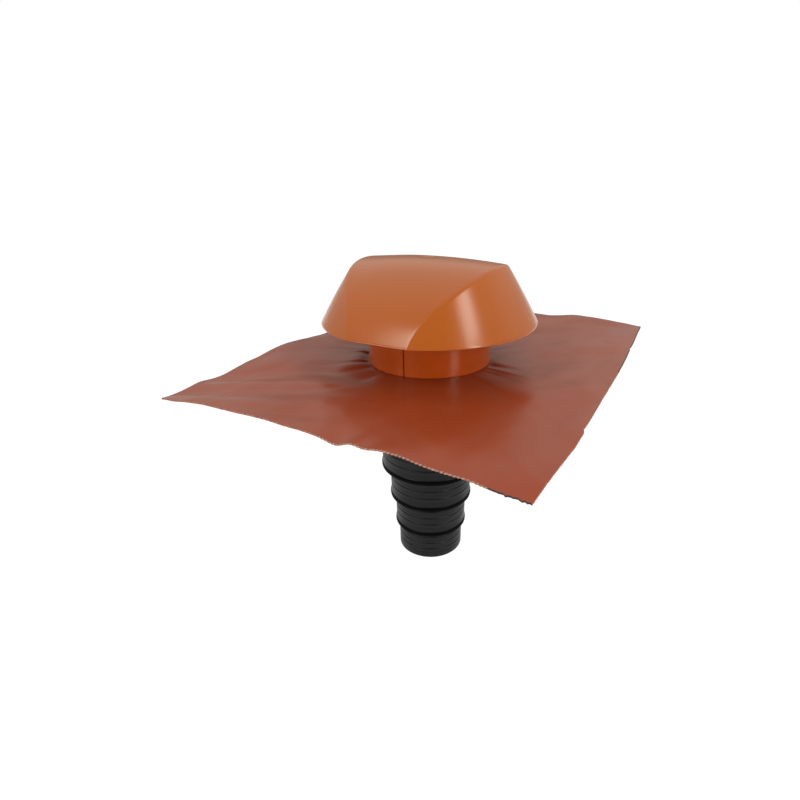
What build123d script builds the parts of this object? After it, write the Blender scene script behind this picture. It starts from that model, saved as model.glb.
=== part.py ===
from build123d import *
import math
import os

os.makedirs("parts", exist_ok=True)

# Roof vent cap, millimetres. The duct axis is Z, +Z up. The origin is on the
# duct axis at the roof plane, where the sleeve's cuff passes through the roof,
# 2 mm below the underside of the flashing sheet.
# +X runs along the hood's ridge, +Y along the long side of the sheet.

# ---- driving dimensions -------------------------------------------------
# flashing sheet
SHEET_T = 2.0            # thickness
SHEET_Z = 2.0            # underside beside the tube
NECK_R = 82.5            # inside of the short upturned neck round the tube
NECK_TOP = 12.0          # top of the neck, hidden behind the collar band

# base tube
TUBE_UP_R = 82.5         # outside, above the roof
TUBE_UP_IN = 79.5        # inside, above the roof
TUBE_LO_R = 80.0         # outside of the lower spigot
TUBE_LO_IN = 77.0        # inside of the lower spigot
TUBE_TOP = 72.0
TUBE_BOT = -52.0

# collar band
BAND_IN = NECK_R + SHEET_T
BAND_R = 87.5
BAND_Z0 = 4.3
BAND_Z1 = 66.0
BAND_SLIT = 0.6          # gap where the ends of the band meet
BAND_SEAM = 4.0          # degrees of the seam from -Y towards +X

# hood: a cone of revolution cut by a slightly crowned barrel that lies along X
RIM_Z = 62.0
RIM_R = 150.3
CONE_K = 0.5957          # radius lost for each millimetre of height
ARCH_R = 166.0           # outside radius of the barrel
ARCH_TOP = 146.5         # ridge height at its middle
RIDGE_R = 900.0          # the ridge is crowned: its radius seen from the side
HOOD_T = 3.0             # wall
CREASE_R = 3.5           # rounding along the creases

# cage under the hood
CAGE_R = 82.5
CAGE_IN = 75.5
CAGE_Z0 = TUBE_TOP
CAGE_RING = 3.0
CAGE_TOP = 111.0
BAR_COUNT = 32
BAR_W = 3.0
BAR_D = 4.0
LUG_R = 70.0             # screw circle
LUG_PAD = 9.0
SCREW_R = 1.75
SCREW_HOLE = 2.2
SCREW_LEN = 15.0
BOSS_R = 6.0

# stepped sleeve
RUBBER = 3.5
CUFF_R = 83.5
LIP_H = 5.0              # height of each sealing lip's cylindrical part
LIP_OUT = 1.0            # how far a lip stands out from the wall above it
GROOVE_W = 1.6
GROOVE_D = 0.6
# (lip radius, lower end) of each step below the cuff
STEPS = [(80.0, -112.0), (75.0, -166.0), (62.5, -220.0), (55.0, -271.0), (50.0, -316.0)]

# ---- base tube ----------------------------------------------------------
with BuildPart() as base_tube:
    with BuildSketch(Plane.XZ) as s:
        with BuildLine():
            Polyline(
                (TUBE_LO_IN, TUBE_BOT),
                (TUBE_LO_R - 1.0, TUBE_BOT),
                (TUBE_LO_R, TUBE_BOT + 1.0),
                (TUBE_LO_R, SHEET_Z),
                (TUBE_UP_R, SHEET_Z),
                (TUBE_UP_R, TUBE_TOP),
                (TUBE_UP_IN, TUBE_TOP),
                (TUBE_UP_IN, SHEET_Z + 4.0),
                (TUBE_LO_IN, SHEET_Z - 2.0),
                close=True,
            )
        make_face()
    revolve(axis=Axis.Z)
base_tube.part.label = "base_tube"
export_step(base_tube.part, "parts/base_tube.step")

# ---- collar band: a strip bent round the tube, ends meeting near -Y --------
with BuildPart() as collar_band:
    with BuildSketch(Plane.XZ) as s:
        with BuildLine():
            Polyline(
                (BAND_IN, BAND_Z0),
                (BAND_R - 0.6, BAND_Z0),
                (BAND_R, BAND_Z0 + 0.6),
                (BAND_R, BAND_Z1 - 1.0),
                (BAND_R - 1.0, BAND_Z1),
                (BAND_IN, BAND_Z1),
                close=True,
            )
        make_face()
    revolve(axis=Axis.Z)
    with BuildSketch(Plane.XY.offset(BAND_Z0 - 1.0)) as s:
        with PolarLocations((BAND_R + BAND_IN) / 2, 1, start_angle=BAND_SEAM - 90.0):
            Rectangle(12.0, BAND_SLIT)
    extrude(amount=BAND_Z1 - BAND_Z0 + 2.0, mode=Mode.SUBTRACT)
collar_band.part.label = "collar_band"
export_step(collar_band.part, "parts/collar_band.step")

# ---- flashing sheet: a limp sheet, nearly flat, with a short upturned neck ----
# Heights of the underside over the plan, from the -Y edge to the +Y edge.
SHEET_X = [-219.0, -150.0, -92.0, 0.0, 98.0, 166.0, 242.0]   # the outer two are set by row below
SHEET_Y = [-284.0, -205.0, -105.0, 0.0, 105.0, 212.0, 318.0]
SHEET_H = [
    [1.0, 6.0, 7.5, 6.5, 5.5, 0.5, -6.5],
    [0.0, 2.5, 3.5, 3.5, 2.5, 0.5, -3.0],
    [1.5, 1.0, 0.0, 0.0, 0.0, 0.0, -1.5],
    [3.0, 1.0, 0.0, 0.0, 0.0, 0.0, -2.0],
    [1.0, 1.0, 0.0, 0.0, 0.0, 0.0, -1.5],
    [-1.0, 1.5, 2.0, 2.0, 2.0, 2.0, 0.0],
    [-3.0, 2.0, 4.0, 4.0, 6.0, 5.0, 1.5],
]
SHEET_LEFT = [-214.0, -219.5, -223.5, -224.8, -224.0, -222.0, -219.0]   # the long edges bow out
SHEET_RIGHT = [239.5, 247.5, 250.8, 251.5, 251.8, 251.0, 249.5]

sheet_points = []
for j, y in enumerate(SHEET_Y):
    row = []
    for i, x in enumerate(SHEET_X):
        px = x
        if i == len(SHEET_X) - 1:
            px = SHEET_RIGHT[j]
        if i == 0:
            px = SHEET_LEFT[j]
        row.append(Vector(px, y, SHEET_Z + SHEET_H[j][i]))
    sheet_points.append(row)
sheet_face = Face.make_surface_from_array_of_points(sheet_points, tol=0.02, min_deg=3, max_deg=5)
if sheet_face.normal_at().Z < 0:
    sheet_face = -sheet_face

with BuildPart() as flashing_sheet:
    thicken(sheet_face, amount=SHEET_T)
    with BuildSketch(Plane.XY.offset(SHEET_Z)) as s:
        Circle(NECK_R + SHEET_T)
    extrude(amount=NECK_TOP - SHEET_Z)
    with BuildSketch(Plane.XY.offset(-40.0)) as s:
        Circle(NECK_R)
    extrude(amount=120.0, mode=Mode.SUBTRACT)
flashing_sheet.part.label = "flashing_sheet"
export_step(flashing_sheet.part, "parts/flashing_sheet.step")

# ---- stepped sleeve -------------------------------------------------------
outer = [(CUFF_R, 0.0), (CUFF_R, -50.0), (CUFF_R - 1.0, -52.0)]
inner = [(TUBE_LO_R, 0.0), (TUBE_LO_R, TUBE_BOT), (STEPS[0][0] - RUBBER, TUBE_BOT)]
z_top = -55.0
for n, (r, z_bot) in enumerate(STEPS):
    last = n == len(STEPS) - 1
    wall_top = r if last else r - 0.2
    wall_bot = r if last else r - LIP_OUT
    lip_top = z_bot + LIP_H + (4.0 if last else 1.5)
    z0 = z_top - 0.5
    outer.append((wall_top, z0))
    span = z0 - lip_top

    def wall(z):
        return wall_top + (wall_bot - wall_top) * (z0 - z) / span

    for g in range(3):
        zg = z0 - span * (g + 1.0) / 3.7
        outer.append((wall(zg + GROOVE_W / 2), zg + GROOVE_W / 2))
        outer.append((wall(zg) - GROOVE_D, zg + GROOVE_W / 4))
        outer.append((wall(zg) - GROOVE_D, zg - GROOVE_W / 4))
        outer.append((wall(zg - GROOVE_W / 2), zg - GROOVE_W / 2))
    if not last:
        outer.append((wall_bot, lip_top + 1.0))
        outer.append((r, lip_top - 0.3))
        outer.append((r, z_bot + 1.2))
        outer.append((r - 1.2, z_bot))
        r_next = STEPS[n + 1][0]
        inner.append((r - RUBBER, z_bot + RUBBER + 2.0))
        inner.append((r_next - RUBBER, z_bot + RUBBER - 1.0))
    else:
        outer.append((r, z_bot + 0.8))
        outer.append((r - 0.8, z_bot))
        inner.append((r - RUBBER, z_bot))
    z_top = z_bot

with BuildPart() as stepped_sleeve:
    with BuildSketch(Plane.XZ) as s:
        with BuildLine():
            Polyline(*(outer + inner[::-1]), close=True)
        make_face()
    revolve(axis=Axis.Z)

# The moulding is kept as a stack of plain rings that meet face to face: each
# wall, and each flange with its lip, is a solid of its own.
cuts = [1.0, TUBE_BOT - 2.0]
for r, z_bot in STEPS[:-1]:
    cuts += [z_bot + RUBBER + 2.0, z_bot - 0.3]
cuts.append(STEPS[-1][1] - 1.0)
rings = []
for hi, lo in zip(cuts[:-1], cuts[1:]):
    slab = Pos(0.0, 0.0, (hi + lo) / 2) * Cylinder(120.0, hi - lo)
    rings += (stepped_sleeve.part & slab).solids()
sleeve_rings = Compound(label="stepped_sleeve", children=rings)
print("sleeve rings", len(rings), sum(r.volume for r in rings) - stepped_sleeve.part.volume)
export_step(sleeve_rings, "parts/stepped_sleeve.step")

# ---- guard cage -----------------------------------------------------------
with BuildPart() as guard_cage:
    with BuildSketch(Plane.XZ) as s:
        with BuildLine():
            Polyline(
                (CAGE_IN, CAGE_Z0 + CAGE_RING),
                (CAGE_IN, CAGE_Z0 - 12.0),
                (TUBE_UP_IN - 0.8, CAGE_Z0 - 12.0),
                (TUBE_UP_IN, CAGE_Z0 - 10.0),
                (TUBE_UP_IN, CAGE_Z0),
                (CAGE_R, CAGE_Z0),
                (CAGE_R, CAGE_Z0 + CAGE_RING),
                close=True,
            )
        make_face()
    revolve(axis=Axis.Z)
    with BuildSketch(Plane.XY.offset(CAGE_TOP - CAGE_RING)) as s:
        Circle(CAGE_R)
        Circle(CAGE_IN, mode=Mode.SUBTRACT)
        with PolarLocations(LUG_R, 4, start_angle=45):
            Circle(LUG_PAD)
        with PolarLocations(LUG_R, 4, start_angle=45):
            Circle(SCREW_HOLE, mode=Mode.SUBTRACT)
    extrude(amount=CAGE_RING)
guard_cage.part.label = "guard_cage"
export_step(guard_cage.part, "parts/guard_cage.step")

# the bars stand between the cage's two rings
with BuildPart() as cage_bars:
    with BuildSketch(Plane.XY.offset(CAGE_Z0 + CAGE_RING)) as s:
        with PolarLocations((CAGE_R + CAGE_IN) / 2, BAR_COUNT, start_angle=180.0 / BAR_COUNT):
            Rectangle(BAR_D, BAR_W)
    extrude(amount=CAGE_TOP - CAGE_Z0 - 2 * CAGE_RING)
cage_bars.part.label = "cage_bars"
export_step(cage_bars.part, "parts/cage_bars.step")

# ---- hood -----------------------------------------------------------------
SLANT = math.hypot(1.0, CONE_K)
CONE_IN = HOOD_T * SLANT                  # the wall measured across, along a radius
ARCH_Z = ARCH_TOP - ARCH_R                # axis of the barrel
CONE_TOP = ARCH_TOP + 12.0



def barrel(radius):
    """The crowned barrel: the arch's circle turned about an axis along Y, far below."""
    with BuildPart() as b:
        with BuildSketch(Plane.YZ) as s:
            with Locations((0.0, ARCH_Z)):
                Circle(radius)
        turn = Axis((0.0, 0.0, ARCH_TOP - RIDGE_R), (0.0, 1.0, 0.0))
        revolve(axis=turn, revolution_arc=28.0)
    return b.part.rotate(turn, -14.0)


with BuildPart() as hood_core:            # the hollow inside the hood
    with BuildSketch(Plane.XZ) as s:
        with BuildLine():
            Polyline(
                (0.0, RIM_Z - 20.0),
                (RIM_R - CONE_IN + CONE_K * 20.0, RIM_Z - 20.0),
                (RIM_R - CONE_IN - CONE_K * (CONE_TOP - RIM_Z), CONE_TOP),
                (0.0, CONE_TOP),
                close=True,
            )
        make_face()
    revolve(axis=Axis.Z)
    add(barrel(ARCH_R - HOOD_T), mode=Mode.INTERSECT)

with BuildPart() as hood_form:            # the outside of the hood
    with BuildSketch(Plane.XZ) as s:
        with BuildLine():
            Polyline(
                (0.0, RIM_Z),
                (RIM_R, RIM_Z),
                (RIM_R - CONE_K * (CONE_TOP - RIM_Z), CONE_TOP),
                (0.0, CONE_TOP),
                close=True,
            )
        make_face()
    revolve(axis=Axis.Z)
    add(barrel(ARCH_R), mode=Mode.INTERSECT)
    creases = hood_form.edges().filter_by(lambda e: e.center().Z > RIM_Z + 5.0 and e.geom_type != GeomType.LINE)
    fillet(creases, radius=CREASE_R)

with BuildPart() as bosses:               # they end half way into the wall
    with BuildSketch(Plane.XY.offset(CAGE_TOP)) as s:
        with PolarLocations(LUG_R, 4, start_angle=45):
            Circle(BOSS_R)
    extrude(amount=45.0)
    add(barrel(ARCH_R - HOOD_T / 2), mode=Mode.INTERSECT)

with BuildPart() as hood:
    add(hood_form.part)
    add(hood_core.part, mode=Mode.SUBTRACT)
    # four bosses under the ridge, each with a blind pilot hole
    add(bosses.part)
    with BuildSketch(Plane.XY.offset(CAGE_TOP)) as s:
        with PolarLocations(LUG_R, 4, start_angle=45):
            Circle(SCREW_R)
    extrude(amount=SCREW_LEN + 1.0, mode=Mode.SUBTRACT)
hood.part.label = "hood"
export_step(hood.part, "parts/hood.step")

# ---- hood screws ------------------------------------------------------------
with BuildPart() as hood_screws:
    with BuildSketch(Plane.XY.offset(CAGE_TOP - CAGE_RING)) as s:
        with PolarLocations(LUG_R, 4, start_angle=45):
            Circle(SCREW_R)
    extrude(amount=CAGE_RING + SCREW_LEN)
    with BuildSketch(Plane.XY.offset(CAGE_TOP - CAGE_RING)) as s:
        with PolarLocations(LUG_R, 4, start_angle=45):
            Circle(4.0)
    extrude(amount=-2.6)
    heads = hood_screws.edges().filter_by(GeomType.CIRCLE).group_by(Axis.Z)[0]
    fillet(heads, radius=1.2)
hood_screws.part.label = "hood_screws"
export_step(hood_screws.part, "parts/hood_screws.step")
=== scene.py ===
import math
import bpy
import bmesh
import numpy as np
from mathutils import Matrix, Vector


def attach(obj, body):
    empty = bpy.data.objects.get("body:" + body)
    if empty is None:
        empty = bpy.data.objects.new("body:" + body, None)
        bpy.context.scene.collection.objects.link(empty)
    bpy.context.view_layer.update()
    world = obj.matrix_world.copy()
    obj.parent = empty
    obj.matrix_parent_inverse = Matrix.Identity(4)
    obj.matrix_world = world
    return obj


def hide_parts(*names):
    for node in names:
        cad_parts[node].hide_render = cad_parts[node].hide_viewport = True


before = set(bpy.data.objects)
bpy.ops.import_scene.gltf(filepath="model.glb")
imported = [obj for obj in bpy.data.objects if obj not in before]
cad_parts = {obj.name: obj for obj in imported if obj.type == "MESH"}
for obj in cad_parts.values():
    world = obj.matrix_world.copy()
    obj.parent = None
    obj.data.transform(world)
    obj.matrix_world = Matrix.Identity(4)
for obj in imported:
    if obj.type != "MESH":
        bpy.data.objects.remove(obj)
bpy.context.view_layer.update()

scene = bpy.context.scene
scene.view_settings.view_transform = "Standard"
scene.view_settings.look = "None"
scene.view_settings.exposure = 0.0
scene.view_settings.gamma = 1.0
MM = 0.001


# --------------------------------------------------------------------------
# helpers
# --------------------------------------------------------------------------
def smoothstep(a, b, x):
    t = np.clip((np.asarray(x, float) - a) / (b - a), 0.0, 1.0)
    return t * t * (3 - 2 * t)


def make_object(name, verts, faces, materials, face_mats=None, weld=2e-6, sharp=None):
    """A mesh object from points in millimetres."""
    me = bpy.data.meshes.new(name)
    me.from_pydata([(v[0] * MM, v[1] * MM, v[2] * MM) for v in verts], [], faces)
    for m in materials:
        me.materials.append(m)
    if face_mats is not None:
        me.polygons.foreach_set("material_index", face_mats)
    bm = bmesh.new()
    bm.from_mesh(me)
    bmesh.ops.remove_doubles(bm, verts=bm.verts, dist=weld)
    bad = [f for f in bm.faces if f.calc_area() < 1e-13]
    if bad:
        bmesh.ops.delete(bm, geom=bad, context="FACES_ONLY")
    bmesh.ops.recalc_face_normals(bm, faces=bm.faces)
    bm.to_mesh(me)
    bm.free()
    me.polygons.foreach_set("use_smooth", [True] * len(me.polygons))
    if sharp is not None:
        me.set_sharp_from_angle(angle=math.radians(sharp))
    me.update()
    ob = bpy.data.objects.new(name, me)
    scene.collection.objects.link(ob)
    return ob


def grid_faces(rows, cols, base=0, wrap_rows=False, flip=False):
    out = []
    n = rows if wrap_rows else rows - 1
    for j in range(n):
        j2 = (j + 1) % rows
        for i in range(cols - 1):
            q = [base + j * cols + i, base + j * cols + i + 1, base + j2 * cols + i + 1, base + j2 * cols + i]
            out.append(q[::-1] if flip else q)
    return out


class Nodes:
    """A small node-tree writer."""

    def __init__(self, name):
        self.mat = bpy.data.materials.new(name)
        self.mat.use_nodes = True
        self.t = self.mat.node_tree
        self.t.nodes.clear()
        self.out = self.add("ShaderNodeOutputMaterial")
        self.bsdf = self.add("ShaderNodeBsdfPrincipled")
        self.link(self.bsdf.outputs["BSDF"], self.out.inputs["Surface"])
        self.co = self.add("ShaderNodeTexCoord").outputs["Object"]

    def add(self, kind, **props):
        n = self.t.nodes.new(kind)
        for k, v in props.items():
            setattr(n, k, v)
        return n

    def link(self, a, b):
        self.t.links.new(a, b)

    def mapped(self, scale=(1, 1, 1), rot=(0, 0, 0), loc=(0, 0, 0)):
        m = self.add("ShaderNodeMapping")
        m.inputs["Scale"].default_value = scale
        m.inputs["Rotation"].default_value = rot
        m.inputs["Location"].default_value = loc
        self.link(self.co, m.inputs["Vector"])
        return m.outputs["Vector"]

    def noise(self, scale, detail=2.0, rough=0.5, vec=None, distort=0.0):
        n = self.add("ShaderNodeTexNoise")
        n.inputs["Scale"].default_value = scale
        n.inputs["Detail"].default_value = detail
        n.inputs["Roughness"].default_value = rough
        n.inputs["Distortion"].default_value = distort
        self.link(vec if vec is not None else self.co, n.inputs["Vector"])
        return n.outputs["Fac"]

    def voronoi(self, scale, feature="F1", vec=None):
        n = self.add("ShaderNodeTexVoronoi", feature=feature)
        n.inputs["Scale"].default_value = scale
        self.link(vec if vec is not None else self.co, n.inputs["Vector"])
        return n.outputs["Distance"]

    def remap(self, val, a, b, c, d):
        n = self.add("ShaderNodeMapRange")
        self.link(val, n.inputs["Value"])
        for k, v in zip(("From Min", "From Max", "To Min", "To Max"), (a, b, c, d)):
            n.inputs[k].default_value = v
        return n.outputs["Result"]

    def ramp(self, val, stops):
        n = self.add("ShaderNodeValToRGB")
        e = n.color_ramp.elements
        while len(e) < len(stops):
            e.new(0.5)
        for el, (p, c) in zip(e, stops):
            el.position = p
            el.color = (*c, 1.0)
        self.link(val, n.inputs["Fac"])
        return n.outputs["Color"]

    def mix(self, fac, a, b, blend="MIX"):
        n = self.add("ShaderNodeMix", data_type="RGBA", blend_type=blend)
        if isinstance(fac, (int, float)):
            n.inputs[0].default_value = fac
        else:
            self.link(fac, n.inputs[0])
        for sock, v in ((n.inputs[6], a), (n.inputs[7], b)):
            if isinstance(v, tuple):
                sock.default_value = (*v, 1.0)
            else:
                self.link(v, sock)
        return n.outputs[2]

    def math(self, op, a, b=None):
        n = self.add("ShaderNodeMath", operation=op)
        for sock, v in zip(n.inputs, (a, b)):
            if v is None:
                continue
            if isinstance(v, (int, float)):
                sock.default_value = v
            else:
                self.link(v, sock)
        return n.outputs["Value"]

    def bump(self, height, dist_mm, strength=1.0, normal=None):
        n = self.add("ShaderNodeBump")
        n.inputs["Strength"].default_value = strength
        n.inputs["Distance"].default_value = dist_mm * MM
        self.link(height, n.inputs["Height"])
        if normal is not None:
            self.link(normal, n.inputs["Normal"])
        return n.outputs["Normal"]

    def set(self, **kw):
        for k, v in kw.items():
            self.bsdf.inputs[k.replace("_", " ")].default_value = v

    def to(self, sock, val):
        self.link(val, self.bsdf.inputs[sock])


# --------------------------------------------------------------------------
# materials
# --------------------------------------------------------------------------
def hood_plastic(name, lo, hi, rough=0.34, fleck=1.0):
    """Terracotta moulded plastic: satin, with faint flow marks and a fine moulded grain."""
    n = Nodes(name)
    flow = n.noise(7.0, 3.0, 0.55, n.mapped((1.0, 1.0, 2.2)))
    fine = n.noise(900.0, 2.0, 0.6)
    tone = n.ramp(flow, [(0.30, lo), (0.72, hi)])
    n.to("Base Color", n.mix(n.remap(fine, 0.35, 0.7, 0.0, 0.05 * fleck), tone, tuple(0.6 * c for c in lo)))
    n.to("Roughness", n.remap(n.noise(18.0, 3.0, 0.5), 0.3, 0.7, rough - 0.02, rough + 0.02))
    grain = n.bump(n.noise(1400.0, 2.0, 0.5), 0.04, 0.20)
    n.to("Normal", n.bump(n.noise(14.0, 1.5, 0.4), 0.12, 0.25, grain))
    n.set(IOR=1.5)
    n.bsdf.inputs["Specular IOR Level"].default_value = 0.5
    return n.mat


def sheet_rubber(name, lo, hi, rough=0.42, dark=1.0):
    """Red-brown roofing sheet: leather-like grain, long faint streaks, satin."""
    n = Nodes(name)
    streak = n.noise(9.0, 4.0, 0.6, n.mapped((1.0, 0.28, 1.0), rot=(0, 0, math.radians(28))))
    cloud = n.noise(4.2, 3.0, 0.5)
    both = n.math("ADD", n.math("MULTIPLY", streak, 0.55), n.math("MULTIPLY", cloud, 0.45))
    tone = n.ramp(both, [(0.32, lo), (0.68, hi)])
    pore = n.voronoi(820.0)
    n.to("Base Color", n.mix(n.remap(pore, 0.0, 0.35, 0.10, 0.0), tone, tuple(0.5 * c for c in lo)))
    n.to("Roughness", n.remap(n.noise(16.0, 4.0, 0.6, n.mapped((1.0, 0.4, 1.0), rot=(0, 0, math.radians(28)))), 0.3, 0.7, rough - 0.05, rough + 0.06))
    grain = n.bump(n.voronoi(760.0, "SMOOTH_F1"), 0.08, 0.22)
    crease = n.bump(n.noise(110.0, 2.0, 0.5), 0.16, 0.25, grain)
    n.to("Normal", n.bump(n.noise(22.0, 2.0, 0.5, n.mapped((1.0, 0.35, 1.0), rot=(0, 0, math.radians(28)))), 0.6, 0.45, crease))
    n.set(IOR=1.5)
    n.bsdf.inputs["Specular IOR Level"].default_value = 0.45
    return n.mat


def sheet_edge(name, lo, hi):
    """The sheet's cut edge: a noisy tone between two colours; its pale copy is painted highlight on alternate pinked
    teeth, its dark copy painted shade along shadowed edges.
    """
    n = Nodes(name)
    n.to("Base Color", n.ramp(n.noise(420.0, 1.0, 0.5), [(0.38, lo), (0.6, hi)]))
    n.to("Roughness", n.remap(n.noise(200.0), 0.3, 0.7, 0.5, 0.7))
    n.to("Normal", n.bump(n.noise(700.0, 2.0), 0.15, 0.5))
    return n.mat


def rubber(name, lo, hi, rough, spec):
    """Black moulded rubber with faint level lines and a bloom."""
    n = Nodes(name)
    bloom = n.noise(30.0, 4.0, 0.6, n.mapped((1.0, 1.0, 2.0)))
    n.to("Base Color", n.ramp(bloom, [(0.3, lo), (0.72, hi)]))
    n.to("Roughness", n.remap(n.noise(60.0, 3.0), 0.3, 0.7, rough - 0.06, rough + 0.08))
    lines = n.bump(n.noise(1.0, 1.0, 0.5, n.mapped((4.0, 4.0, 420.0))), 0.16, 0.35)
    n.to("Normal", n.bump(n.noise(1100.0, 2.0), 0.06, 0.35, lines))
    n.set(IOR=1.5)
    n.bsdf.inputs["Specular IOR Level"].default_value = spec
    return n.mat


def zinc(name):
    n = Nodes(name)
    n.to("Base Color", n.ramp(n.noise(600.0, 3.0), [(0.3, (0.42, 0.42, 0.44)), (0.7, (0.62, 0.62, 0.64))]))
    n.to("Roughness", n.remap(n.noise(300.0), 0.3, 0.7, 0.28, 0.42))
    n.set(Metallic=1.0)
    return n.mat


M_HOOD = hood_plastic("hood_terracotta", (0.434, 0.0995, 0.0112), (0.458, 0.107, 0.0130), rough=0.22)
M_BAND = hood_plastic("band_terracotta", (0.545, 0.083, 0.0078), (0.580, 0.091, 0.0095), rough=0.19)
M_TUBE = hood_plastic("tube_terracotta", (0.45, 0.100, 0.0125), (0.48, 0.110, 0.0150), rough=0.38)
M_SHEET = sheet_rubber("sheet_redbrown", (0.270, 0.0386, 0.0088), (0.321, 0.0489, 0.0120), rough=0.32)
M_UNDER = sheet_rubber("sheet_underside", (0.120, 0.036, 0.022), (0.150, 0.046, 0.028), rough=0.6)
M_EDGE = sheet_edge("sheet_cut_edge", (0.22, 0.06, 0.03), (0.40, 0.14, 0.08))
# painted highlight: pale faces of the cut edge where its teeth catch the light
M_EDGE_PAINTED_HIGHLIGHT = sheet_edge("sheet_cut_edge_painted_highlight", (0.306, 0.1615, 0.119), (0.442, 0.272, 0.2125))
# painted shade: near-black cut edge where the edge lies in shadow
M_EDGE_PAINTED_SHADE = sheet_edge("sheet_cut_edge_painted_shade", (0.015, 0.006, 0.005), (0.0375, 0.0125, 0.009))
M_RUBBER = rubber("sleeve_rubber", (0.0034, 0.0034, 0.0046), (0.0066, 0.0066, 0.0084), 0.37, 0.21)
# painted shade: the near-black, low-gloss lip rubber stands for the shadow under each sealing lip
M_LIP_PAINTED_SHADE = rubber("sleeve_lip_painted_shade", (0.0009, 0.0009, 0.0011), (0.0016, 0.0016, 0.0019), 0.5, 0.035)
M_ZINC = zinc("zinc_screw")


# --------------------------------------------------------------------------
# hood: a cone of revolution cut by a barrel along X, 3 mm wall
# --------------------------------------------------------------------------
RIM_Z, RIM_R, CONE_K = 62.0, 150.8, 0.5957
ARCH_R, ARCH_TOP, WALL = 166.0, 147.3, 3.0
RIDGE_R = 1100.0              # the ridge is slightly crowned
CONE_BULGE = 1.1             # and so is the cone's side
BOSS_Z = 111.0


def cone_radius(z, rim_r):
    s = (z - RIM_Z) / 80.0
    return rim_r - CONE_K * (z - RIM_Z) + 4 * CONE_BULGE * s * (1 - s)


def hood_rows(rim_r, arch_r, z_end, nv=176, nx=48, nb=6, nc=24, soft=3.4):
    """Rows of points across the hood, from the -X rim over the ridge to the +X rim."""
    zc = ARCH_TOP - ARCH_R

    def barrel(x, t):
        drop = x * x / (2 * RIDGE_R)
        a = t * math.acos((z_end + drop - zc) / arch_r)
        return np.array([x, arch_r * math.sin(a), zc + arch_r * math.cos(a) - drop])

    rows = []
    for j in range(nv + 1):
        t = 2.0 * j / nv - 1.0
        lo, hi = 0.0, rim_r
        for _ in range(44):
            mid = 0.5 * (lo + hi)
            q = barrel(mid, t)
            if math.hypot(q[0], q[1]) < cone_radius(q[2], rim_r):
                lo = mid
            else:
                hi = mid
        xc = lo
        crease = barrel(xc, t)
        v, z = crease[1], crease[2]
        phi = math.atan2(v, xc)
        rc = cone_radius(z, rim_r)
        rb = cone_radius(z_end, rim_r)
        length = math.hypot(rb - rc, z - z_end)
        d = min(soft, 0.42 * length)

        def on_cone(f):
            zz = z + (z_end - z) * f
            r = cone_radius(zz, rim_r)
            return np.array([r * math.cos(phi), r * math.sin(phi), zz])

        p0 = barrel(xc - d, t)
        p2 = on_cone(d / length) if length > 1e-6 else crease.copy()
        half = [barrel((xc - d) * i / (nx / 2.0), t) for i in range(0, nx // 2 + 1)]
        for k in range(1, nb):
            f = k / nb
            half.append((1 - f) ** 2 * p0 + 2 * f * (1 - f) * crease + f * f * p2)
        f0 = d / length if length > 1e-6 else 0.0
        for k in range(nc + 1):
            half.append(on_cone(f0 + (1.0 - f0) * k / nc))
        left = [np.array([-p[0], p[1], p[2]]) for p in half[:0:-1]]
        rows.append(left + half)
    return rows


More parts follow.
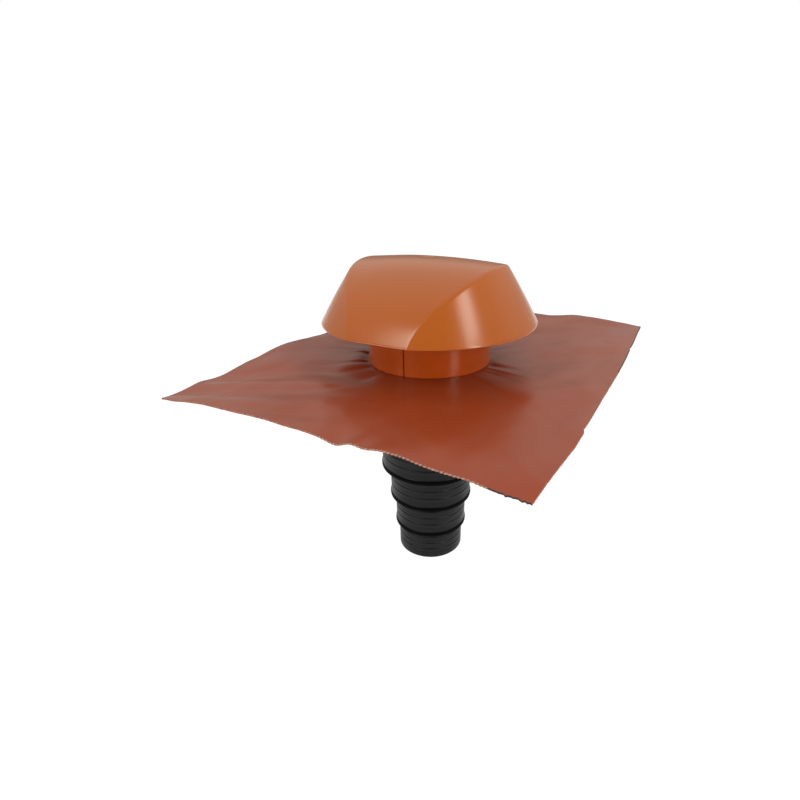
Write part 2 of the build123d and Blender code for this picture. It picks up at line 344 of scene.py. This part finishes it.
def build_hood():
    out_rows = hood_rows(RIM_R, ARCH_R, RIM_Z + 0.8)
    in_rows = hood_rows(RIM_R - WALL * math.hypot(1.0, CONE_K), ARCH_R - WALL, RIM_Z + 0.8)
    nr, nc = len(out_rows), len(out_rows[0])
    V = np.array(out_rows).reshape(-1, 3)
    W = np.array(in_rows).reshape(-1, 3)
    # shallow sink mark where the moulding was gated, at the middle of the ridge
    r = np.hypot(V[:, 0], V[:, 1])
    V[:, 2] -= np.where(V[:, 2] > 120, 1.1 * (1 - smoothstep(8.5, 11.5, r)), 0.0)
    # and the -X end of the ridge sits a trace lower
    V[:, 2] -= 1.2 * smoothstep(25, 95, -V[:, 0]) * smoothstep(95, 135, V[:, 2])
    # the moulding is a little slack: very slight waviness of the wide faces
    V[:, 2] += 0.10 * np.sin(V[:, 0] / 31.0 + 0.6) * np.sin(V[:, 1] / 27.0) * smoothstep(70, 95, V[:, 2])
    verts = list(V) + list(W)
    faces = grid_faces(nr, nc) + grid_faces(nr, nc, base=nr * nc, flip=True)
    loop = [i for i in range(nc)] + [j * nc + nc - 1 for j in range(1, nr)]
    loop += [(nr - 1) * nc + i for i in range(nc - 2, -1, -1)] + [j * nc for j in range(nr - 2, 0, -1)]
    ring = []
    for k in loop:
        o, i = V[k], W[k]
        ring.append([(o * (1 - f) + i * f) + np.array([0, 0, dz]) for f, dz in ((0.03, -0.45), (0.14, -0.74), (0.30, -0.8), (0.70, -0.8), (0.86, -0.74), (0.97, -0.45))])
    base = len(verts)
    steps = len(ring[0])
    for p in ring:
        verts += p
    n = len(loop)
    for a in range(n):
        b = (a + 1) % n
        strip_a = [loop[a]] + [base + a * steps + s for s in range(steps)] + [loop[a] + nr * nc]
        strip_b = [loop[b]] + [base + b * steps + s for s in range(steps)] + [loop[b] + nr * nc]
        for s in range(len(strip_a) - 1):
            faces.append([strip_a[s], strip_b[s], strip_b[s + 1], strip_a[s + 1]])
    # four bosses under the ridge, open tubes that stand on the cage
    cap = []
    for q in range(4):
        ang = math.radians(45 + 90 * q)
        cx, cy = 70.0 * math.cos(ang), 70.0 * math.sin(ang)
        zin = ARCH_TOP - ARCH_R + math.sqrt((ARCH_R - WALL) ** 2 - cy * cy) + 1.2
        prof = [(1.75, zin - 6.0), (1.75, 111.4), (2.1, 111.0), (5.6, 111.0), (6.0, 111.4), (6.0, zin - 5.0), (6.6, zin - 2.0), (8.0, zin)]
        b0 = len(verts)
        seg = 24
        for s in range(seg):
            t = 2 * math.pi * s / seg
            for rr, zz in prof:
                y = cy + rr * math.sin(t)
                top = ARCH_TOP - ARCH_R + math.sqrt((ARCH_R - WALL) ** 2 - y * y) + 0.8
                verts.append(np.array([cx + rr * math.cos(t), y, min(zz, top)]))
        faces += grid_faces(seg, len(prof), base=b0, wrap_rows=True)
        cap.append([b0 + s * len(prof) for s in range(seg)])
    faces += cap
    ob = make_object("hood_shell", verts, faces, [M_HOOD], sharp=50)
    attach(ob, "root")
    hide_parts("hood")
    return ob


hood = build_hood()


# --------------------------------------------------------------------------
# collar band: a strip bent round the tube, its ends meeting near -Y
# --------------------------------------------------------------------------
def build_band():
    R, r_in, z0, z1 = 87.5, 84.55, 4.05, 66.0
    prof = []
    for k in range(5):          # lower outer edge
        t = math.radians(-90 + 22.5 * k)
        prof.append((R - 0.9 + 0.9 * math.cos(t), z0 + 0.9 + 0.9 * math.sin(t)))
    for z in np.linspace(z0 + 4, z1 - 5, 14):
        prof.append((R, float(z)))
    for k in range(5):          # upper outer edge
        t = math.radians(22.5 * k)
        prof.append((R - 1.0 + 1.0 * math.cos(t), z1 - 1.0 + 1.0 * math.sin(t)))
    prof += [(r_in + 0.4, z1), (r_in, z1 - 0.4)]
    for z in np.linspace(z1 - 6, z0 + 6, 6):
        prof.append((r_in, float(z)))
    prof += [(r_in, z0 + 0.4), (r_in + 0.4, z0)]
    n = len(prof)
    gap = 0.65 / R
    seam = math.radians(4.0)          # the seam stands a little round from -Y
    a0, a1 = -math.pi / 2 + seam + gap, 1.5 * math.pi + seam - gap
    # rounded ends: the first and last stations draw in a little
    ang = [a0, a0 + 0.15 / R, a0 + 0.5 / R, a0 + 1.1 / R]
    ang += list(np.linspace(a0 + 2.2 / R, a1 - 2.2 / R, 300))
    ang += [a1 - 1.1 / R, a1 - 0.5 / R, a1 - 0.15 / R, a1]
    verts, faces = [], []
    for a in ang:
        near = min(a - a0, a1 - a) * R
        draw = 0.9 * (1 - smoothstep(0.0, 1.1, near)) ** 2
        proud = 0.40 * (1 - smoothstep(0.0, 9.0, (a - a0) * R)) - 0.10 * (1 - smoothstep(0.0, 8.0, (a1 - a) * R))
        for r, z in prof:
            out = 1.0 if r > (R + r_in) / 2 else -0.3
            rr = r + (proud if out > 0 else 0.0) - draw * out
            rr += 0.05 * math.sin(3 * a + 0.4) + 0.03 * math.sin(7 * a)
            verts.append((rr * math.cos(a), rr * math.sin(a), z))
    m = len(ang)
    for j in range(m - 1):
        for i in range(n):
            i2 = (i + 1) % n
            faces.append([j * n + i, j * n + i2, (j + 1) * n + i2, (j + 1) * n + i])
    faces.append([i for i in range(n)][::-1])
    faces.append([(m - 1) * n + i for i in range(n)])
    ob = make_object("collar_strip", verts, faces, [M_BAND], sharp=50)
    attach(ob, "root")
    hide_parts("collar_band")
    return ob


band = build_band()


# --------------------------------------------------------------------------
# stepped rubber sleeve
# --------------------------------------------------------------------------
def build_sleeve():
    steps = [(80.0, -112.0), (75.7, -166.0), (63.4, -220.0), (55.9, -271.0), (50.7, -316.0)]
    rubber_t = 3.5
    prof, lip = [], []          # (r, z) and whether the span below each point is lip

    def put(r, z, is_lip=False):
        prof.append((r, z))
        lip.append(is_lip)

    put(80.4, 0.0)
    put(82.6, 0.0)
    put(83.3, -0.3)
    put(83.5, -1.0)
    for z in (-10.0, -20.0, -30.0, -40.0):
        put(83.5, z)
    put(83.5, -50.0)
    put(83.2, -51.3)
    put(82.4, -52.0)
    z_top = -52.0
    for k, (r, zb) in enumerate(steps):
        last = k == len(steps) - 1
        r0 = r + 0.1
        r1 = r - 0.3 if last else r - 1.0
        lip_h = 0.0 if last else 5.4
        z0 = z_top - 0.2
        # inner corner of the step above
        put(r0 + 0.9, z0 + 0.15)
        put(r0 + 0.25, z0 - 0.1)
        put(r0, z0 - 0.8)
        z_end = zb + lip_h + (0.8 if not last else 3.0)
        span = z0 - z_end

        def wall(z):
            return r0 + (r1 - r0) * (z0 - z) / span

        # grooves moulded round each section, deep and shallow by turns
        for g, deep in ((0.11, 1.0), (0.245, 0.35), (0.38, 1.0), (0.515, 0.35), (0.65, 1.0), (0.80, 0.35)):
            zg = z0 - span * g
            half = 1.0 if deep > 0.5 else 0.7
            put(wall(zg + 2.0 * half), zg + 2.0 * half)
            put(wall(zg + 1.3 * half), zg + 1.3 * half)
            put(wall(zg) - 0.15 * deep, zg + half)
            put(wall(zg) - 0.75 * deep, zg + 0.45 * half)
            put(wall(zg) - 0.85 * deep, zg)
            put(wall(zg) - 0.75 * deep, zg - 0.45 * half)
            put(wall(zg) - 0.15 * deep, zg - half)
            put(wall(zg - 1.3 * half), zg - 1.3 * half)
        if not last:
            # sealing lip: the wall swells, then a smooth bead, whose near-black rubber is painted shade for its
            # underside and the shadow below it
            put(wall(z_end + 1.6), z_end + 1.6)
            put(r1 + 0.35, z_end + 0.5)
            put(r1 + 0.65, z_end, True)
            bead = [(0.95, 5.4), (1.3, 4.9), (1.5, 4.2), (1.6, 3.2), (1.65, 2.0), (1.6, 0.8), (1.3, -0.2), (0.6, -0.8), (-0.6, -1.1), (-2.0, -1.2)]
            for dr, dz in bead:
                put(r1 + dr, zb + dz, True)
            z_top = zb - 1.2
        else:
            put(r1, zb + 2.0)
            put(r1, zb + 1.0)
            put(r1 - 0.3, zb + 0.3)
            put(r1 - 1.0, zb)
    put(steps[-1][0] - rubber_t + 0.6, -316.0)
    put(steps[-1][0] - rubber_t, -315.4)
    for k in range(len(steps) - 2, -1, -1):
        r, zb = steps[k]
        r_next = steps[k + 1][0]
        put(r_next - rubber_t, zb + 1.6)
        put(r_next - rubber_t + 0.6, zb + 2.6)
        put(r - rubber_t - 0.6, zb + 5.0)
        put(r - rubber_t, zb + 6.0)
    put(76.5, -52.4)
    put(80.05, -52.4)
    put(80.05, -0.5)
    n = len(prof)
    seg = 168
    verts, faces, mats = [], [], []
    for s in range(seg):
        t = 2 * math.pi * s / seg
        # soft rubber is never quite round, and it hangs a little to one side
        for r, z in prof:
            low = float(smoothstep(60.0, 316.0, -z))
            lean = 1.3 * float(smoothstep(56.0, 120.0, -z))
            rr = r + low * (0.18 * math.sin(2 * t + 0.7) + 0.08 * math.sin(5 * t))
            verts.append((rr * math.cos(t) + 0.89 * lean, rr * math.sin(t) + 0.45 * lean, z))
    for s in range(seg):
        s2 = (s + 1) % seg
        for i in range(n):
            i2 = (i + 1) % n
            faces.append([s * n + i, s2 * n + i, s2 * n + i2, s * n + i2])
            # lip faces take the near-black rubber, painted shade
            mats.append(1 if lip[i] else 0)
    ob = make_object("rubber_sleeve", verts, faces, [M_RUBBER, M_LIP_PAINTED_SHADE], mats, sharp=60)
    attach(ob, "root")
    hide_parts("stepped_sleeve")
    return ob


sleeve = build_sleeve()


# --------------------------------------------------------------------------
# flashing sheet: limp, wavy, pinked round its cut edge, puckered at the collar
# --------------------------------------------------------------------------
TOP = 4.0
# plan of the two long edges: X at each Y
RIGHT_XY = [(-284.5, 240.5), (-266, 243.7), (-229, 247.3), (-180, 251.6), (-148, 252.9), (-138, 251.4), (-113, 252.2), (-50, 252.9), (-20, 253.8), (98, 255.6), (200, 254.2), (295, 252.4), (318, 252.0)]
LEFT_XY = [(-281.5, -214.5), (-268, -217.0), (-205, -219.5), (-105, -223.5), (0, -224.8), (105, -224.0), (212, -222.0), (318, -219.0)]
# heights of the top face over the flat level, at points of the edge
EDGE_FRONT = [(-214.5, 1.4), (-205, 2.6), (-190, 4.4), (-178, 6.0), (-150, 8.4), (-101, 10.0), (-54, 10.2), (-12, 8.4), (19, 6.2), (42, 2.2), (57, 6.6), (73, 5.0), (88, 6.8), (113, 7.3), (144, 2.8), (165, 1.6), (184, 0.6), (199, -1.6), (213, -4.0), (228, -5.4), (240.5, -6.2)]
EDGE_RIGHT = [(-284.5, -5.0), (-266, -1.6), (-229, 0.4), (-180, 1.0), (-113, 1.0), (-20, 1.0), (60, 0.8), (98, 1.0), (170, 1.0), (240, 1.2), (295, 1.3), (318, 1.6)]
EDGE_BACK = [(250, 1.6), (220, 3.4), (192, 5.6), (164, 7.8), (135, 8.0), (112, 5.5), (91, 3.2), (62, 3.8), (20, 3.0), (-40, 2.0), (-100, 3.0), (-160, 2.0), (-219, -1.0)]
EDGE_LEFT = [(-281.5, 1.4), (-270, -1.0), (-247, -1.4), (-222, 0.2), (-197, -2.8), (-168, -2.2), (-138, 0.8), (-106, 2.0), (-71, 4.6), (-35, 3.8), (4, -0.8), (30, -3.6), (60, -3.6), (130, -0.5), (200, 2.0), (265, 0.0), (318, -1.0)]


def edge_x(table, y):
    ys, xs = zip(*table)
    return float(np.interp(y, ys, xs))


def outline():
    """Plan points of the cut edge, anticlockwise from the -X -Y corner, evenly spaced, and each point's side."""
    per = 2.12
    pts = []
    for x in np.linspace(-214.5, 240.5, int(455 / per) + 1)[:-1]:
        pts.append((x, -284.0 + 2.5 * (1 - float(smoothstep(-214, -190, x))) - 0.5 * float(smoothstep(200, 240, x)), 0, x))
    for y in np.linspace(-284.5, 318, int(602 / per) + 1)[:-1]:
        pts.append((edge_x(RIGHT_XY, y), y, 1, y))
    for x in np.linspace(252, -219, int(471 / per) + 1)[:-1]:
        pts.append((x, 318.0, 2, x))
    for y in np.linspace(318, -281.5, int(599 / per) + 1)[:-1]:
        pts.append((edge_x(LEFT_XY, y), y, 3, y))
    return pts


def thin_plate(P, Z, Q):
    """Thin-plate spline through heights Z at plan points P, read at Q."""
    def kern(d2):
        return np.where(d2 > 0, d2 * np.log(np.maximum(d2, 1e-12)), 0.0)
    S = 100.0
    P, Q = P / S, Q / S
    n = len(P)
    K = kern(((P[:, None] - P[None]) ** 2).sum(-1)) + 1e-4 * np.eye(n)
    A = np.block([[K, np.c_[np.ones(n), P]], [np.c_[np.ones(n), P].T, np.zeros((3, 3))]])
    w = np.linalg.solve(A, np.r_[Z, np.zeros(3)])
    out = np.empty(len(Q))
    for a in range(0, len(Q), 4000):
        q = Q[a:a + 4000]
        out[a:a + 4000] = kern(((q[:, None] - P[None]) ** 2).sum(-1)) @ w[:n] + np.c_[np.ones(len(q)), q] @ w[n:]
    return out


def build_sheet():
    rng = np.random.default_rng(11)
    edge = outline()
    ns, nr = len(edge), 36
    B = np.array([(p[0], p[1]) for p in edge])
    side = np.array([p[2] for p in edge])
    s_at = np.array([p[3] for p in edge])
    ang = np.arctan2(B[:, 1], B[:, 0])
    R0 = 84.6
    inner = np.c_[R0 * np.cos(ang), R0 * np.sin(ang)]
    t = np.append(np.linspace(0, 1, nr) ** 1.35 * 0.9935, 1.0)
    # pinked cut: alternate points stand in and out
    nrm = np.array([[0, -1], [1, 0], [0, 1], [-1, 0]])[side]
    tooth = np.where(np.arange(ns) % 2 == 0, 1.0, -1.0)
    pinked = (side == 0) * smoothstep(10, 30, s_at) * (1 - smoothstep(190, 205, s_at))
    amp = 0.14 + 0.36 * pinked
    rag = rng.normal(0, 0.06, ns)
    # ragged corner, and two nicks in the long +X edge
    rag += np.where((side == 0) & (s_at > 212), rng.normal(0, 0.6, ns), 0.0)
    nick = np.zeros(ns)
    for y, wide, deep in ((172.0, 7.0, 2.6), (-140.0, 5.0, 1.0)):
        d = (s_at - y) / wide
        nick += np.where((side == 1), deep * np.exp(-np.abs(d) ** 1.2) * (d > 0) + deep * np.exp(-(d * 5) ** 2) * (d <= 0), 0.0)
    Bz = B + nrm * (tooth * amp + rag - nick)[:, None]
    rings = inner[None] + (B - inner)[None] * t[:, None, None]
    rings[-1] = Bz
    Q = rings.reshape(-1, 2)
    # the sheet's large form
    pts, z = [], []
    for x, h in EDGE_FRONT:
        pts.append((x, -284.0)); z.append(h)
    for y, h in EDGE_RIGHT[1:-1]:
        pts.append((edge_x(RIGHT_XY, y), y)); z.append(h)
    for x, h in EDGE_BACK:
        pts.append((x, 318.0)); z.append(h)
    for y, h in EDGE_LEFT[1:-1]:
        pts.append((edge_x(LEFT_XY, y), y)); z.append(h)
    for rr in (86.0, 96.0, 110.0):
        for k in range(20):
            a = 2 * math.pi * (k + 0.5 * (rr > 90)) / 20
            pts.append((rr * math.cos(a), rr * math.sin(a))); z.append(0.0)
    pts += [(-150, -200), (-60, -200), (60, -205), (160, -200), (-160, 0), (175, 0), (180, 150), (0, 220), (-150, 200), (-165, -100), (180, -110)]
    z += [2.6, 4.0, 3.2, 0.2, 2.0, -0.6, 1.0, 2.2, 0.8, 0.5, 0.2]
    H = thin_plate(np.array(pts, float), np.array(z, float), Q)
    # puckers that run out from the collar, strongest to the two sides
    rho = np.hypot(Q[:, 0], Q[:, 1])
    phi = np.arctan2(Q[:, 1], Q[:, 0])
    far = rho - 87.5
    grow = smoothstep(-1.0, 7.0, far)
    to_right = np.clip(np.cos(phi - math.radians(22.0)), 0, 1) ** 2.2
    to_left = np.clip(np.cos(phi - math.radians(205.0)), 0, 1) ** 1.6
    ph = phi + 0.06 * np.sin(5 * phi + 1.0) + 0.035 * np.sin(11 * phi + 0.5) + 0.0011 * far * np.sin(3 * phi + 2.0)
    fold = 0.09 * np.sin(43 * ph + 1.9) + 0.16 * np.sin(27 * ph + 0.4) + 0.34 * np.sin(17 * ph + 2.2)
    reach = 34.0 + 20.0 * (0.5 + 0.5 * np.sin(9 * phi + 0.7))
    H += 2.3 * fold * (to_right + to_left) * grow * np.exp(-np.maximum(far, 0) / reach)
    H += 0.55 * np.sin(13 * ph + 1.1) * (to_right + 0.8 * to_left) * np.exp(-np.maximum(far - 25, 0) / 55.0) * smoothstep(4, 40, far)
    # one broad bulge on the -X side, falling away towards -Y
    turn = np.degrees(np.mod(phi + 1.5 * math.pi, 2 * math.pi)) - 180.0      # 0 at -Y, negative towards -X
    bulge = smoothstep(-118, -80, turn) * (1 - smoothstep(-72, -28, turn))
    H += 3.0 * bulge * smoothstep(0, 14, far) * np.exp(-np.maximum(far - 22, 0) / 36.0)
    # a slack hollow in front of it, level with the collar's front
    H -= 4.0 * np.exp(-((Q[:, 1] + 116.0) / 26.0) ** 2) * smoothstep(-150, -95, Q[:, 0]) * (1 - smoothstep(-45, -8, Q[:, 0])) * smoothstep(0, 20, far)
    # long slack waves across the free parts, dying out at the cut edge
    u = Q[:, 0] * math.cos(math.radians(35)) + Q[:, 1] * math.sin(math.radians(35))
    v = -Q[:, 0] * math.sin(math.radians(35)) + Q[:, 1] * math.cos(math.radians(35))
    free = smoothstep(20, 90, far)
    inside = smoothstep(0, 34, np.minimum(np.minimum(Q[:, 1] + 284, 318 - Q[:, 1]), np.minimum(252 - Q[:, 0], Q[:, 0] + 222)))
    w = Q[:, 1] * math.cos(math.radians(27)) - Q[:, 0] * math.sin(math.radians(27))
    l = Q[:, 0] * math.cos(math.radians(27)) + Q[:, 1] * math.sin(math.radians(27))
    near = 1 - smoothstep(-112, -86, w)
    H += free * inside * 1.9 * np.sin(2 * math.pi * (w + 119 + 8 * np.sin(l / 45.0)) / 78.0) * near * (1 - smoothstep(-150, -85, l))
    H += free * inside * 2.2 * np.sin(v / 19.0 + 0.9 * np.sin(u / 60.0) + 0.4) * smoothstep(20, 120, -Q[:, 0]) * (1 - near)
    H += free * inside * 1.6 * np.sin(2 * math.pi * (w - 15 + 10 * np.sin(l / 50.0)) / 190.0) * smoothstep(60, 150, l)
    H += free * 0.6 * np.sin(v / 13.0 + 1.3 + 0.9 * np.sin(u / 47.0)) * smoothstep(60, 200, Q[:, 0] + 0.6 * Q[:, 1])
    H += free * 0.40 * np.sin(u / 12.0 + 0.8 * np.sin(v / 23.0)) * np.sin(v / 33.0 + 0.3)
    H += 0.22 * np.sin(Q[:, 0] / 7.3 + 1.7 * np.sin(Q[:, 1] / 19.0)) * np.sin(Q[:, 1] / 8.9 + 1.4 * np.sin(Q[:, 0] / 17.0)) * free
    top = np.c_[Q, TOP + H]
    thick = 2.0
    bot = np.c_[Q, TOP + H - thick]
    # short neck turned up behind the collar band
    neck_hi = np.c_[inner * (84.45 / R0), np.full(ns, 11.6)]
    neck_in = np.c_[inner * (82.6 / R0), np.full(ns, 11.6)]
    neck_lo = np.c_[inner * (82.6 / R0), np.full(ns, TOP - thick)]
    verts = np.vstack([top, bot, neck_hi, neck_in, neck_lo])
    nt = (nr + 1) * ns
    faces, mats = [], []

    def ring_faces(a0, b0, m, flip=False):
        for i in range(ns):
            j = (i + 1) % ns
            q = [a0 + i, a0 + j, b0 + j, b0 + i]
            faces.append(q[::-1] if flip else q)
            mats.append(m)

    for k in range(nr):
        ring_faces(k * ns, (k + 1) * ns, 0, True)
        ring_faces(nt + k * ns, nt + (k + 1) * ns, 1)
    first = len(faces)
    ring_faces(nr * ns, nt + nr * ns, 2)
    for i in range(ns):
        if side[i] > 1 or (side[i] == 1 and s_at[i] > 60):          # the outer band of the top face along the back, -X and far +X edges takes the darker underside colour, painted shade along the edge
            mats[2 * (nr - 1) * ns + i] = 1
        # painted light on the cut edge: alternate tooth faces of the pinked front edge take a painted highlight; the
        # front edge past x=190 and the +X edge behind y=60 take painted shade
        if side[i] == 0 and pinked[i] > 0.3:
            mats[first + i] = 3 if i % 2 == 0 else 2
        elif (side[i] == 0 and s_at[i] > 190) or (side[i] == 1 and s_at[i] > 60):
            mats[first + i] = 4
    ring_faces(2 * nt, 0, 0, True)
    ring_faces(2 * nt + ns, 2 * nt, 0, True)
    ring_faces(2 * nt + 2 * ns, 2 * nt + ns, 1, True)
    ring_faces(nt, 2 * nt + 2 * ns, 1, True)
    ob = make_object("flashing_sheet_skin", verts, faces, [M_SHEET, M_UNDER, M_EDGE, M_EDGE_PAINTED_HIGHLIGHT, M_EDGE_PAINTED_SHADE], mats, sharp=45)
    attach(ob, "root")
    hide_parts("flashing_sheet")
    return ob


sheet = build_sheet()

# --------------------------------------------------------------------------
# carried-over pieces
# --------------------------------------------------------------------------
for node, mat in (("base_tube", M_TUBE), ("guard_cage", M_TUBE), ("cage_bars", M_TUBE), ("hood_screws", M_ZINC)):
    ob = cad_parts[node]
    ob.data.materials.clear()
    ob.data.materials.append(mat)

# --------------------------------------------------------------------------
# floor, light, camera
# --------------------------------------------------------------------------
fl = bpy.data.meshes.new("studio_floor")
s = 9.0
fl.from_pydata([(-s, -s, -0.3166), (s, -s, -0.3166), (s, s, -0.3166), (-s, s, -0.3166)], [], [(0, 1, 2, 3)])
floor = bpy.data.objects.new("studio_floor", fl)
scene.collection.objects.link(floor)
nf = Nodes("floor_pale")
nf.set(Roughness=0.9)
nf.bsdf.inputs["Base Color"].default_value = (0.16, 0.16, 0.16, 1)
nf.bsdf.inputs["Specular IOR Level"].default_value = 0.0
nf.bsdf.inputs["Emission Color"].default_value = (1, 1, 1, 1)
nf.bsdf.inputs["Emission Strength"].default_value = 0.95
fl.materials.append(nf.mat)

world = bpy.data.worlds.new("studio")
scene.world = world
world.use_nodes = True
wt = world.node_tree
wt.nodes.clear()
wo = wt.nodes.new("ShaderNodeOutputWorld")
CAM_AZ = 27.0
WARM = (1.0, 0.985, 0.90)
# soft room light: bright behind and overhead, dim low down and on the camera's side
bg = wt.nodes.new("ShaderNodeBackground")
tc = wt.nodes.new("ShaderNodeTexCoord")
dot = wt.nodes.new("ShaderNodeVectorMath")
dot.operation = "DOT_PRODUCT"
dot.inputs[1].default_value = (math.sin(math.radians(CAM_AZ)), -math.cos(math.radians(CAM_AZ)), 0.10)
wt.links.new(tc.outputs["Generated"], dot.inputs[0])
mr = wt.nodes.new("ShaderNodeMapRange")
mr.interpolation_type = "SMOOTHSTEP"
for k, v in zip(("From Min", "From Max", "To Min", "To Max"), (-0.35, 0.75, 0.93, 0.16)):
    mr.inputs[k].default_value = v
wt.links.new(dot.outputs["Value"], mr.inputs["Value"])
sep = wt.nodes.new("ShaderNodeSeparateXYZ")
wt.links.new(tc.outputs["Generated"], sep.inputs[0])
low = wt.nodes.new("ShaderNodeMapRange")
low.interpolation_type = "SMOOTHSTEP"
for k, v in zip(("From Min", "From Max", "To Min", "To Max"), (0.10, 0.50, 0.60, 1.0)):
    low.inputs[k].default_value = v
wt.links.new(sep.outputs["Z"], low.inputs["Value"])
both = wt.nodes.new("ShaderNodeMath")
both.operation = "MULTIPLY"
wt.links.new(mr.outputs["Result"], both.inputs[0])
wt.links.new(low.outputs["Result"], both.inputs[1])
# the room's far wall is dimmer straight behind the object, low down
far = wt.nodes.new("ShaderNodeVectorMath")
far.operation = "DOT_PRODUCT"
far.inputs[1].default_value = (-math.sin(math.radians(CAM_AZ)) * 0.998, math.cos(math.radians(CAM_AZ)) * 0.998, 0.06)
wt.links.new(tc.outputs["Generated"], far.inputs[0])
dim = wt.nodes.new("ShaderNodeMapRange")
dim.interpolation_type = "SMOOTHSTEP"
for k, v in zip(("From Min", "From Max", "To Min", "To Max"), (0.925, 0.988, 1.0, 0.45)):
    dim.inputs[k].default_value = v
wt.links.new(far.outputs["Value"], dim.inputs["Value"])
room = wt.nodes.new("ShaderNodeMath")
room.operation = "MULTIPLY"
wt.links.new(both.outputs["Value"], room.inputs[0])
wt.links.new(dim.outputs["Result"], room.inputs[1])
wt.links.new(room.outputs["Value"], bg.inputs["Strength"])
bg.inputs["Color"].default_value = (*WARM, 1.0)
bc = wt.nodes.new("ShaderNodeBackground")
bc.inputs["Color"].default_value = (1, 1, 1, 1)
bc.inputs["Strength"].default_value = 1.0
lp = wt.nodes.new("ShaderNodeLightPath")
mx = wt.nodes.new("ShaderNodeMixShader")
wt.links.new(lp.outputs["Is Camera Ray"], mx.inputs[0])
wt.links.new(bg.outputs[0], mx.inputs[1])
wt.links.new(bc.outputs[0], mx.inputs[2])
wt.links.new(mx.outputs[0], wo.inputs["Surface"])



def softbox(name, az, el, dist, w, h, radiance, aim=(0, 0, 0.09)):
    """A rectangular softbox seen from the object at an azimuth from the camera and an elevation, in degrees."""
    a, e = math.radians(CAM_AZ + az), math.radians(el)
    d = Vector((math.sin(a) * math.cos(e), -math.cos(a) * math.cos(e), math.sin(e)))
    light = bpy.data.lights.new(name, "AREA")
    light.shape = "RECTANGLE"
    light.size, light.size_y = w, h
    light.energy = radiance * math.pi * w * h
    light.color = WARM
    ob = bpy.data.objects.new(name, light)
    ob.location = Vector(aim) + d * dist
    ob.rotation_euler = d.to_track_quat("Z", "Y").to_euler()
    scene.collection.objects.link(ob)
    return ob


softbox("key_right", 48.5, 40.0, 1.5, 0.35, 0.42, 8.8)
softbox("key_left", -49.0, 39.5, 1.5, 0.46, 0.46, 6.6)
softbox("low_right", 44.0, 16.0, 1.5, 0.22, 0.55, 16.5)
softbox("low_left", -42.0, 3.0, 1.5, 0.90, 0.30, 6.0)

cam = bpy.data.cameras.new("photo_camera")
cam.sensor_fit = "HORIZONTAL"
cam.sensor_width = 36.0
cam.lens = 530.0 * 36.0 / 800.0
cam.shift_x = -29.8 / 800.0
cam.shift_y = 0.0
cam.clip_start = 0.02
cam.dof.use_dof = False
camera = bpy.data.objects.new("photo_camera", cam)
camera.location = (0.734 * math.sin(math.radians(CAM_AZ)), -0.734 * math.cos(math.radians(CAM_AZ)), 0.2498)
camera.rotation_euler = (math.radians(90.0 - 23.08), 0.0, math.radians(CAM_AZ))
scene.collection.objects.link(camera)
scene.camera = camera
